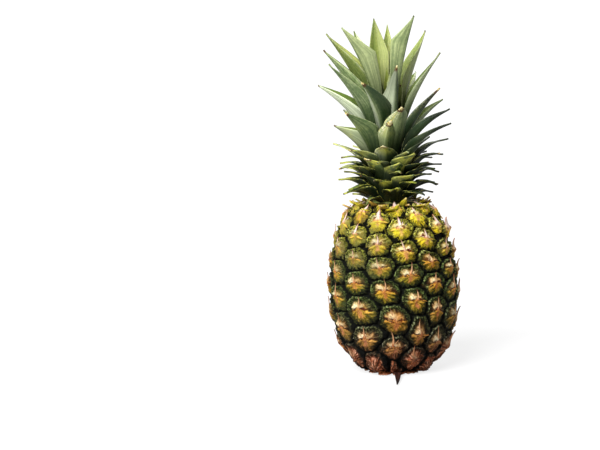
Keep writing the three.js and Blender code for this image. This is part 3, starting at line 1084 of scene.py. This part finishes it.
class SkinFinish(FruitFinish):
    """The skin, painted by the place across and up each eye and in from its seam."""

    def __init__(self):
        super().__init__("pineapple_skin", 0.5, 0.12, (0.086, 0.024), (0.036, 0.014))
        self.across, self.up, self.seam = self.split(self.attribute("eye"))
        self.fine = self.noise(900, 4, 0.65, self.point)
        self.crumbs = self.noise(430, 3, 0.6, self.shifted(self.point, 7.0))
        self.clouds = self.noise(190, 3, 0.6, self.shifted(self.point, 11.0))
        self.x = self.across + self.noise(300, 3, 0.6, self.point).scaled(0.36, -0.18)
        self.y = self.up + self.noise(320, 3, 0.6, self.shifted(self.point, 3.0)).scaled(0.36, -0.18)
        self.side = abs(self.across)
        self.turn = self.math("ARCTAN2", self.up, self.across)
        self.reach = self.length(self.x, self.y)
        self.straight_reach = self.length(self.across, self.up)
        self.streaks = self.outward_noise(5.5, 2.0, 9.0, 4, 0.7, 0.4)
        self.lobes = self.outward_noise(2.6, 1.6, 15.0, 3, 0.55, 0.3)
        # the eye as a whole: a ragged star, bright at its middle, that fades into the dark round it
        star = self.reach + self.streaks.scaled(0.7, -0.35) + self.lobes.scaled(0.9, -0.45)
        self.star = star + self.high * -0.16
        spikes = self.streaks.step(0.34, 0.66).scaled(3.4, -1.7)
        spikes += self.high * self.lobes.step(0.40, 0.60).scaled(4.0, -2.2)
        ragged = self.seam + self.crumbs.scaled(2.4, -1.2) + self.fine.scaled(1.2, -0.6)
        self.ragged_seam = ragged + spikes + self.high * -0.5
        arch = self.straight_reach.scaled(-ARCH_SCALE, ARCH_SCALE * ARCH_REACH)
        arch = self.math("MINIMUM", self.seam, arch)
        self.ragged_arch = arch + self.crumbs.scaled(2.0, -1.0) + self.high * 0.3
        # the bract's upper edge bends down to both sides, and the hollows are over it
        self.over_edge = self.y + self.side * self.lean.scaled(0.2, 0.30) - 0.03
        self.upper = self.over_edge.step(0.02, 0.12)
        self.over = self.up.step(-0.15, 0.12)

    def outward_noise(self, round_eye, outward, apart, detail, roughness, distortion):
        """Noise that runs out from the middle of each eye, unlike that of the next eye."""
        vector = self.join(self.turn * round_eye, self.straight_reach * outward, self.tone * apart)
        return self.noise(1.0, detail, roughness, vector, distortion)

    def spot(self, x, y, wide, tall):
        """A soft oval mask round a place in the eye."""
        return self.length((self.x - x) / wide, (self.y - y) / tall).step(1.0, 0.2)

    def paint_star(self):
        """From dark green-brown at the border to gold in the middle, with folds that run outwards."""
        self.paint = self.by_height((78, 80, 14), (33, 39, 9), (34, 28, 12))
        flecks = self.fine.step(0.52, 0.66) * 0.6
        self.coat(flecks, (190, 186, 60), (92, 108, 44), (78, 76, 44))
        olive = self.star.step(0.88, 0.55)
        self.coat(olive, (248, 220, 34), (150, 136, 36), (138, 106, 48))
        gold = self.star.step(0.56, 0.24)
        self.coat(gold, (255, 234, 44), (228, 178, 54), (216, 156, 84))
        folds = self.streaks.step(0.50, 0.60, 0.0, 0.7)
        self.coat(folds, (128, 92, 20), (46, 36, 12), (40, 26, 12))
        ridges = self.streaks.step(0.44, 0.32, 0.0, 0.8) * self.star.step(0.9, 0.5)
        self.coat(ridges, (255, 246, 130), (226, 200, 104), (206, 158, 94))
        clefts = self.lobes.step(0.49, 0.62) * self.reach.step(0.30, 0.75) * 0.75
        self.coat(clefts, (52, 54, 12), (24, 32, 10), (24, 22, 10))

    def paint_upper_half(self):
        """Under the rim a dark band, partly its own colour and partly painted shade, with pale amber patches
        on both sides and pale spots that are partly painted highlights.
        """
        # the dark band under the rim: its own colour and painted shade
        dark_dish_and_shade = self.upper * self.streaks.step(0.34, 0.46, 0.75, 1.0)
        self.coat(dark_dish_and_shade, (146, 130, 48), (38, 28, 8), (30, 20, 9))
        halo = self.spot(0.02, 0.22, 0.74, 0.50) * self.upper * self.lobes.step(0.35, 0.65, 0.0, 0.9)
        self.coat(halo, (226, 190, 80), (164, 118, 50), (140, 98, 58))
        amber = self.by_height((250, 222, 130), (226, 172, 84), (210, 160, 102))
        self.lay(self.spot(0.24, 0.22, 0.36, 0.30) * self.upper * 0.85, amber)
        self.lay(self.spot(-0.22, 0.26, 0.46, 0.40) * self.upper, amber)
        # the palest spots: pale sepals and painted highlights on the swellings
        left = self.spot(-0.22, 0.28, 0.36, 0.32) * self.swell.step(-1.0, 0.2, 0.55, 1.0)
        right = self.spot(0.22, 0.26, 0.24, 0.22) * self.swell.step(0.9, -0.6, 0.1, 0.8)
        cream_and_highlight = self.math("MAXIMUM", left, right)
        self.coat(cream_and_highlight, (255, 248, 210), (255, 244, 196), (255, 234, 192))
        burst = self.upper * self.streaks.step(0.42, 0.32) * self.reach.step(0.85, 0.5)
        burst *= self.clouds.step(0.4, 0.55)
        self.coat(burst * 0.75, (255, 236, 214), (232, 204, 170), (200, 164, 130))
        cracks = self.upper * self.streaks.step(0.54, 0.64, 0.0, 0.6) * self.reach.step(0.2, 0.5)
        self.coat(cracks, (176, 130, 60), (84, 44, 20), (64, 34, 18))

    def paint_bract(self):
        """The bright upper edge of the bract, the red hollows over it, and its warm middle."""
        line_width = self.side.step(0.9, 0.1, 0.045, 0.12)
        edge = (abs(self.over_edge) / line_width).step(1.0, 0.3) * self.side.step(0.85, 0.5)
        edge *= self.clouds.step(0.36, 0.5, 0.3, 1.0)
        groove = self.over_edge.step(0.06, 0.12) * self.over_edge.step(0.24, 0.15)
        groove = groove * self.side.step(0.10, 0.2) * self.side.step(0.8, 0.5)
        groove *= self.crumbs.step(0.35, 0.5, 0.4, 1.0)
        self.coat(groove * 0.85, (140, 84, 26), (72, 28, 10), (58, 26, 12))
        self.coat(edge, (255, 238, 96), (236, 184, 66), (212, 156, 84))
        y = self.y
        self.y = y + self.high * -0.09
        left = self.spot(-0.22, 0.08, 0.22, 0.16)
        right = self.spot(0.25, 0.09, 0.24, 0.17)
        hollows = self.math("MAXIMUM", left, right)
        self.y = y
        self.coat(hollows, (110, 38, 14), (92, 28, 11), (84, 28, 14))
        blaze = self.spot(0.0, -0.20, 0.24, 0.50) * self.clouds.step(0.35, 0.55, 0.6, 1.0)
        self.coat(blaze, (250, 190, 118), (222, 142, 84), (206, 134, 94))

    def paint_ripeness(self):
        """The less ripe side at the top, and eyes that are greener or browner than the next."""
        unripe = self.height.step(0.080, 0.115) * self.sideways.step(-0.002, -0.026)
        self.lay(unripe * self.crumbs.scaled(0.6, 0.2), (112, 106, 66))
        greener = self.tone.step(0.0, -1.0, 0.0, 0.30)
        self.coat(greener, (150, 150, 50), (84, 96, 44), (66, 62, 34))
        self.lay(self.tone.step(0.2, 1.0, 0.0, 0.45), (250, 196, 130), "MULTIPLY")

    def paint_rim(self):
        """A dark ring, and outside it a thin line of little pale beads over the upper side, painted brighter
        towards the left side of each eye as painted light.
        """
        ring = self.over * self.ragged_arch.step(5.0, 3.2) * self.high.scaled(-0.35, 0.9)
        self.coat(ring, (86, 92, 20), (30, 38, 12), (26, 26, 12))
        rays = self.upper * self.streaks.step(0.47, 0.37) * self.reach.step(0.40, 0.60)
        rays = rays * self.ragged_arch.step(0.8, 2.0) * self.across.step(0.6, -0.3, 0.35, 0.9)
        self.coat(rays, (232, 226, 140), (142, 146, 82), (112, 102, 72))
        bead_wave = self.math("SINE", self.turn * BEADS_ROUND_EYE + self.lean * 3.0)
        beads = self.over * abs(self.ragged_arch - 1.3).step(0.75, 0.25)
        # painted light: the beads are brighter towards the left side of each eye, where the light falls
        beads = beads * bead_wave.step(-0.7, 0.6, 0.15, 1.0) * self.across.step(0.4, -0.4, 0.2, 1.0)
        beads *= self.clouds.step(0.42, 0.55, 0.05, 1.0)
        self.coat(beads, (236, 232, 140), (184, 200, 130), (178, 176, 150))
        dots = self.noise(680, 2, 0.5, self.shifted(self.point, 9.0))
        mottled = self.over * self.ragged_arch.step(5.5, 4.0) * dots.step(0.50, 0.57)
        mottled = mottled * self.fine.step(0.3, 0.5, 0.6, 1.0) * 0.85
        self.coat(mottled, (24, 28, 8), (12, 18, 6), (12, 12, 6))
        lit = self.over * self.ragged_arch.step(4.5, 3.0) * dots.step(0.46, 0.40)
        lit = lit * self.clouds.step(0.38, 0.5, 0.3, 1.0) * 0.75
        self.coat(lit, (222, 216, 76), (110, 130, 62), (108, 100, 76))
        scraps = self.noise(760, 2, 0.5, self.shifted(self.point, 5.0)).step(0.55, 0.64)
        scraps = scraps * self.star.step(0.6, 0.9) * 0.5
        self.coat(scraps, (170, 170, 50), (88, 104, 48), (84, 78, 46))

    def paint_foot(self):
        """The dry eyes of the lowest rows."""
        dead = self.mix(self.streaks.step(0.40, 0.58), (214, 116, 74), (54, 22, 13))
        dead = self.mix(self.star.step(0.55, 0.95, 0.0, 0.85), dead, (30, 26, 16))
        self.lay(self.foot * 0.85, dead)
        pink = self.foot * self.streaks.step(0.46, 0.36) * self.star.step(1.0, 0.5)
        self.lay(pink * self.clouds.step(0.36, 0.46) * 0.9, (248, 196, 164))

    def paint_seams(self):
        """Painted shade on the shaded side of the rim, the dark gaps between the eyes, which are near black
        partly as painted shade in the grooves, and grime.
        """
        shaded = self.ragged_seam.step(4.0, 2.2) * self.across.step(0.1, 0.6) * 0.45
        self.coat(shaded, (90, 88, 20), (16, 20, 6), (12, 12, 6))
        # the near-black between the eyes: the seams' own dark colour and painted shade in the grooves
        gap_and_groove_shade = self.mix(self.over, self.ragged_seam.step(2.2, 1.2), self.ragged_arch.step(1.1, 0.4))
        self.coat(gap_and_groove_shade, (14, 15, 4), (7, 10, 4), (6, 6, 4))
        grime = self.fine.step(0.42, 0.7, 0.0, 0.5) * self.high.scaled(-0.6, 1.0)
        self.lay(grime, (110, 80, 28), "MULTIPLY")


def skin_material():
    skin = SkinFinish()
    skin.paint_star()
    skin.paint_upper_half()
    skin.paint_bract()
    skin.paint_ripeness()
    skin.paint_rim()
    skin.paint_foot()
    skin.paint_seams()
    glossy = skin.seam.step(1.5, 4.0) * skin.fine.step(0.7, 0.3)
    skin.feed(skin.shader["Roughness"], glossy.step(0.0, 0.9, 0.85, 0.30))
    relief = skin.fine * 0.5 + skin.streaks * 0.9 + skin.crumbs * 0.5
    return skin.finish(relief, 1.7 * MM, 1.0)


def tip_material():
    """The dry parts of the eyes' bracts: from a bright flap to a papery tip."""
    tip = FruitFinish("bract_tip", 0.6, 0.25, (0.070, 0.016), (0.028, 0.008))
    blade = tip.attribute("bract")
    side, along, _ = tip.split(blade)
    fine = tip.noise(700, 4, 0.65, tip.point)
    folds = tip.group(LONG_LINES, Blade=blade, Lines=7.0, Seed=tip.tone * 17.0)["Lines"]
    tip.paint = tip.by_height((250, 214, 84), (236, 170, 66), (206, 136, 74))
    tip.coat(along.step(0.30, 0.36), (236, 170, 100), (206, 124, 58), (170, 100, 58))
    tip.coat(along.step(0.36, 0.62), (250, 232, 222), (232, 186, 136), (206, 146, 100))
    tip.coat(along.step(0.80, 1.0), (206, 150, 110), (140, 84, 46), (104, 62, 36))
    edge = abs(side.scaled(2.0, -1.0)).step(0.5, 1.0, 0.0, 0.75) * along.step(0.22, 0.40, 0.3, 1.0)
    tip.coat(edge, (190, 110, 60), (132, 66, 30), (100, 50, 28))
    tip.lay(folds * 0.5, (150, 96, 64), "MULTIPLY")
    tip.lay(tip.foot * 0.9, tip.mix(folds, (124, 72, 48), (58, 32, 22)))
    tip.lay(fine.step(0.45, 0.75, 0.0, 0.5), (120, 88, 54), "MULTIPLY")
    return tip.finish(folds * 0.8 + fine * 0.4, 0.4 * MM, 0.8)


# ---- finishes of the leaves ----
class LeafFinish(Finish):
    """A side of the leaves, painted by the place across and along the blade."""

    def __init__(self, name, roughness, paints):
        super().__init__(name, roughness, 0.3)
        self.roughness = roughness
        self.paints = paints
        blade = self.attribute("blade")
        self.side, self.along, _ = self.split(blade)
        self.dry_share, self.yellowness, self.tone = self.split(self.attribute("character"))
        point = self.object_point()
        self.height = self.split(point)[2]
        self.low = self.height.step(0.236, 0.182)
        seed = self.tone * 17.0
        self.broad = self.group(LONG_LINES, Blade=blade, Lines=7.0, Seed=seed)["Lines"]
        self.narrow = self.group(LONG_LINES, Blade=blade, Lines=26.0, Seed=seed)["Lines"]
        self.patches = self.group(MOTTLE, Point=point, Size=12 * MM, Edge=0.16)["Patches"]
        self.flecks = self.group(MOTTLE, Point=point, Size=2.2 * MM, Edge=0.1)["Patches"]
        self.ends = self.group(DRY_END, Blade=blade, Dry=self.dry_share, Seed=seed)

    def paint_blade(self):
        """Green in fine lines, with a pale bloom and yellower from leaf to leaf; the low scales are darker,
        partly as painted shade, and leaves whose yellow is below 0 are deeper, as painted shade.
        """
        deep, pale, bloom, yellow = (self.paints[name] for name in ("deep", "pale", "bloom", "yellow"))
        self.paint = self.mix(self.broad.scaled(0.4, 0.3), deep, pale)
        # the low scales' own greens, darker, partly as painted shade low in the crown
        self.lay(self.low, self.mix(self.broad, self.paints["scale_deep"], self.paints["scale_pale"]))
        bloomed = self.patches.scaled(0.6, 0.4) * self.broad.scaled(0.25, 0.45)
        bloomed = bloomed * self.along.step(0.1, 0.6, 0.1, 1.0) * self.low.step(1.0, 0.2, 0.1, 1.0)
        self.lay(bloomed * self.narrow.scaled(0.4, 0.6), bloom)
        yellowed = self.math("MULTIPLY", self.yellowness, self.patches.scaled(0.4, 0.6), clamp=True)
        self.lay(yellowed, yellow)
        # painted shade: leaves whose yellow is below 0 are painted deeper
        self.lay(self.yellowness.step(0.0, -1.0), deep)
        self.lay(self.narrow.step(0.8, 0.1, 0.0, 0.36), deep)
        self.lay(self.flecks * 0.3, deep)

    def paint_bloomed_lit_and_shaded_halves(self):
        """One half of a blade is painted paler, as bloom and painted light, and the other darker, as painted
        shade.
        """
        way = self.side.scaled(1.0, -0.5) * self.math("SIGN", self.tone)
        amount = abs(self.tone)
        # the paler half: whitish bloom and painted light
        bloomed_lit_half = way.step(0.03, -0.10) * amount * self.low.step(0.9, 0.2, 0.15, 0.75)
        bloom_and_light = self.mix(amount.step(0.4, 1.0), self.paints["bloom"], (238, 247, 216))
        self.lay(bloomed_lit_half * self.narrow.scaled(0.45, 0.55), bloom_and_light)
        # painted shade on the other half
        self.lay(way.step(-0.02, 0.16) * amount * 0.8, self.paints["deep"])

    def paint_scales(self):
        """Painted shade darkens the blades towards their roots; the low scales turn yellow towards their
        ends, partly as painted highlight, and those of the shaded right side turn dark there, as painted
        shade.
        """
        # painted shade towards the roots, between the leaves, more on the low scales
        self.lay(self.along.step(0.80, 0.18, 0.0, 0.88), (10, 24, 8))
        self.lay(self.low * self.along.step(0.88, 0.5, 0.0, 0.85), (8, 18, 6))
        # the yellow ends of the low scales, partly painted highlight where their faces turn away from the
        # light
        scale_end_and_highlight = self.height.step(0.240, 0.205) * self.along.step(0.52, 0.84) * self.broad.scaled(0.5, 0.5)
        scale_end_and_highlight = scale_end_and_highlight * self.patches.step(0.1, 0.6) * self.yellowness.step(-0.3, 0.0)
        self.lay(scale_end_and_highlight * 0.9, self.paints["scale_tip"])
        margin = abs(self.side.scaled(2.0, -1.0)).step(0.92, 0.99) * self.flecks.step(0.2, 0.8)
        self.lay(margin * self.low.scaled(0.35, 0.35), self.mix(self.low, (206, 208, 160), (190, 188, 80)))
        # painted shade: dark ends on the leaves whose yellow is below 0
        self.lay(self.yellowness.step(-0.1, -0.4) * self.along.step(0.45, 0.85) * 0.8, (16, 22, 12))

    def paint_dry_ends(self):
        """Dry straw ends, with mottling before them and a scorched line where they start."""
        towards_end = self.along + self.side.scaled(-0.7, 0.26)
        mottled = self.dry_share.step(0.05, 0.09) * towards_end.step(0.62, 0.96) * self.flecks.step(0.25, 0.6)
        self.lay(mottled * 0.85, self.mix(self.narrow, (206, 200, 74), (246, 244, 220)))
        straw = self.mix(self.flecks, (238, 226, 176), (196, 172, 84))
        straw = self.mix(self.low * self.tone.step(-0.5, 0.0), straw, (40, 34, 18))
        self.lay(self.ends["Dry"], straw)
        self.lay(self.ends["Scorch"], (86, 56, 26))


def leaf_material(name, roughness, **paints):
    leaf = LeafFinish(name, roughness, paints)
    leaf.paint_blade()
    leaf.paint_bloomed_lit_and_shaded_halves()
    leaf.paint_scales()
    leaf.paint_dry_ends()
    roughened = leaf.patches.step(0.0, 1.0, roughness - 0.06, roughness + 0.1)
    leaf.feed(leaf.shader["Roughness"], roughened)
    return leaf.finish(leaf.broad * 0.6 + leaf.narrow * 0.5, 0.35 * MM, 0.8)


def small_bract_material(name, first, second, dry):
    """Little bracts of two kinds, each with a root and an end paint, and the paint of their dry points."""
    bract = Finish(name, 0.55, 0.15)
    blade = bract.attribute("blade")
    along = bract.split(blade)[1]
    tone = bract.split(bract.attribute("character"))[2]
    folds = bract.group(LONG_LINES, Blade=blade, Lines=7.0, Seed=tone * 9.0)["Lines"]
    fine = bract.noise(700, 3, 0.6, bract.object_point())
    towards_end = along.step(0.0, 0.6)
    bract.paint = bract.mix(towards_end, *first)
    bract.lay(tone.step(0.1, 0.5), bract.mix(towards_end, *second))
    bract.lay(folds * 0.7, (130, 110, 40), "MULTIPLY")
    bract.lay(along.step(0.70, 0.95) * fine.step(0.4, 0.6), dry)
    return bract.finish(folds, 0.3 * MM, 0.7)


# ---- finishes of the stalk, the dry bracts and the stem ----
def stalk_material():
    """The cut end of the stalk: a pale fibrous disc, browned and cracked."""
    stalk = Finish("cut_stalk", 0.85, 0.15)
    point = stalk.object_point()
    x, y, _ = stalk.split(point)
    dots = stalk.value("ShaderNodeTexVoronoi", {"Vector": point, "Scale": 900.0}, "Distance")
    patches = stalk.group(MOTTLE, Point=point, Size=6 * MM, Edge=0.2)["Patches"]
    stalk.paint = stalk.mix(patches, (196, 168, 112), (150, 116, 70))
    stalk.lay(dots.step(0.35, 0.1, 0.0, 0.7), (96, 66, 38))
    stalk.lay(stalk.length(x, y).step(9.5 * MM, 12.5 * MM), (82, 58, 34))
    return stalk.finish(dots, 0.5 * MM, 0.8)


def dry_bract_material():
    """A long dead bract: dark red-brown fibres."""
    bract = Finish("dry_bract", 0.75, 0.2)
    point = bract.object_point()
    x, y, z = bract.split(point)
    fibres = bract.noise(1.0, 4, 0.6, bract.join(x * 1700, y * 90, z * 300))
    patches = bract.group(MOTTLE, Point=point, Size=8 * MM, Edge=0.2)["Patches"]
    bract.paint = bract.mix(fibres.step(0.35, 0.65), (16, 7, 5), (60, 26, 17))
    bract.lay(patches * 0.15, (104, 62, 40))
    bract.lay(y.step(-46 * MM, -70 * MM, 0.0, 0.8), (16, 9, 7))
    return bract.finish(fibres, 0.4 * MM, 0.8)


def stem_material():
    """The crown's short stem: pale green, with the scars where leaves clasp it."""
    stem = Finish("crown_stem", 0.6, 0.3)
    point = stem.object_point()
    height = stem.split(point)[2]
    rings = stem.math("SINE", height * 1900 + stem.noise(120, 3, 0.6, point) * 7)
    patches = stem.group(MOTTLE, Point=point, Size=7 * MM, Edge=0.2)["Patches"]
    stem.paint = stem.mix(patches, (150, 158, 82), (110, 122, 56))
    stem.lay(rings.step(0.5, 1.0), (74, 70, 34))
    return stem.finish(rings, 0.5 * MM, 0.6)


# ---- putting it together ----
# in both, the low scales' deep green is partly painted shade, and their tip paint partly painted highlight
LEAF_OUTER = leaf_material(
    "leaf_outer", 0.38, deep=(26, 58, 28), pale=(110, 148, 82), bloom=(220, 230, 174), yellow=(160, 170, 66),
    scale_deep=(16, 38, 12), scale_pale=(112, 140, 54), scale_tip=(228, 224, 92),
)
LEAF_INNER = leaf_material(
    "leaf_inner", 0.40, deep=(84, 110, 40), pale=(152, 170, 80), bloom=(208, 210, 146), yellow=(166, 174, 68),
    scale_deep=(20, 36, 10), scale_pale=(92, 110, 38), scale_tip=(176, 180, 62),
)
LEAF_SIDES = [LEAF_OUTER, LEAF_INNER]
COLLAR = small_bract_material(
    "collar_bract", ((66, 70, 16), (206, 192, 44)), ((56, 46, 14), (190, 150, 58)), (226, 196, 150),
)
FLAKE = small_bract_material(
    "foot_flake", ((46, 22, 14), (116, 62, 38)), ((30, 16, 11), (84, 46, 28)), (168, 118, 86),
)
DRY = dry_bract_material()

finish_piece(fruit_skin(), "fruit_skin", [skin_material()], ["fruit_body"])
TIPS = finish_piece(bract_tips(), "eye_bract_tips", [tip_material()])
thicken(TIPS, 0.5 * MM, -1)
crown_leaves(LEAF_SIDES)
heart_leaves(LEAF_SIDES)
foot_scales(LEAF_SIDES)
collar_bracts([COLLAR, COLLAR])
foot_flakes([FLAKE, FLAKE])
foot_bract([DRY, DRY])
for node, material in (("fruit_stalk", stalk_material()), ("crown_stem", stem_material())):
    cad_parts[node].data.materials.clear()
    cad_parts[node].data.materials.append(material)


# ---- floor, light and camera ----
FLOOR_HALF_SIDE = 60
FLOOR_BOUNCE = (0.32, 0.32, 0.32, 1)          # the floor's colour for the light that it throws on the fruit
FLOOR_SEEN = (0.2, 0.2, 0.2, 1)               # and its colour for the camera, which sees it glow as well
FLOOR_GLOW = 0.78


def floor():
    bm = bmesh.new()
    bmesh.ops.create_grid(bm, x_segments=1, y_segments=1, size=FLOOR_HALF_SIDE)
    mesh = bpy.data.meshes.new("studio_floor")
    bm.to_mesh(mesh)
    bm.free()
    finish = Finish("studio_floor", 0.9, 0.0)
    finish.shader["Emission Color"].default_value = (1, 1, 1, 1)
    seen = finish.value("ShaderNodeLightPath", output="Is Camera Ray")
    finish.feed(finish.shader["Base Color"], finish.mix(seen, FLOOR_BOUNCE, FLOOR_SEEN))
    finish.feed(finish.shader["Emission Strength"], seen * FLOOR_GLOW)
    mesh.materials.append(finish.material)
    piece = bpy.data.objects.new("studio_floor", mesh)
    bpy.context.scene.collection.objects.link(piece)


def soft_sun(name, power, spread, azimuth, elevation):
    """An even light from a side, as soft as its spread in degrees is wide."""
    light = bpy.data.lights.new(name, "SUN")
    light.energy = power
    light.angle = math.radians(spread)
    lamp = bpy.data.objects.new(name, light)
    level = math.cos(math.radians(elevation))
    lamp.location = around(2 * level, azimuth, 2 * math.sin(math.radians(elevation)))
    lamp.rotation_euler = (-lamp.location).to_track_quat("-Z", "Y").to_euler()
    bpy.context.scene.collection.objects.link(lamp)


def white_world(strength):
    world = bpy.data.worlds.new("studio")
    world.use_nodes = True
    world.node_tree.nodes["Background"].inputs["Color"].default_value = (1, 1, 1, 1)
    world.node_tree.nodes["Background"].inputs["Strength"].default_value = strength
    bpy.context.scene.world = world


# The view is 600 by 450 pixels, and a pixel is 0.95 mm at the fruit's axis.
PIXEL = 0.95 * MM
VIEW_WIDTH = 600
AXIS_PIXEL_X = 391.2
TARGET_HEIGHT = 142 * MM
CAMERA_DISTANCE = 1.9
CAMERA_ELEVATION = 8
CAMERA_ROLL = -2.3
SENSOR_WIDTH = 36


def camera():
    data = bpy.data.cameras.new("camera")
    data.sensor_width = SENSOR_WIDTH
    data.lens = SENSOR_WIDTH * CAMERA_DISTANCE / (VIEW_WIDTH * PIXEL)
    data.clip_end = 2 * FLOOR_HALF_SIDE
    lens = bpy.data.objects.new("camera", data)
    bpy.context.scene.collection.objects.link(lens)
    bpy.context.scene.camera = lens
    tilt = math.radians(CAMERA_ELEVATION)
    target = Vector((-(AXIS_PIXEL_X - VIEW_WIDTH / 2) * PIXEL, 0, TARGET_HEIGHT))
    back = Vector((0, -math.cos(tilt), math.sin(tilt)))
    lens.location = target + back * CAMERA_DISTANCE
    look = (-back).to_track_quat("-Z", "Y").to_matrix()
    axis = look @ Vector((0, 0, 1))
    lens.rotation_euler = (Matrix.Rotation(math.radians(CAMERA_ROLL), 3, axis) @ look).to_euler()


floor()
white_world(0.26)
soft_sun("key", 5.7, 40, -34, 42)
soft_sun("back_fill", 1.6, 90, 150, 28)
camera()
bpy.context.scene.view_settings.view_transform = "Standard"
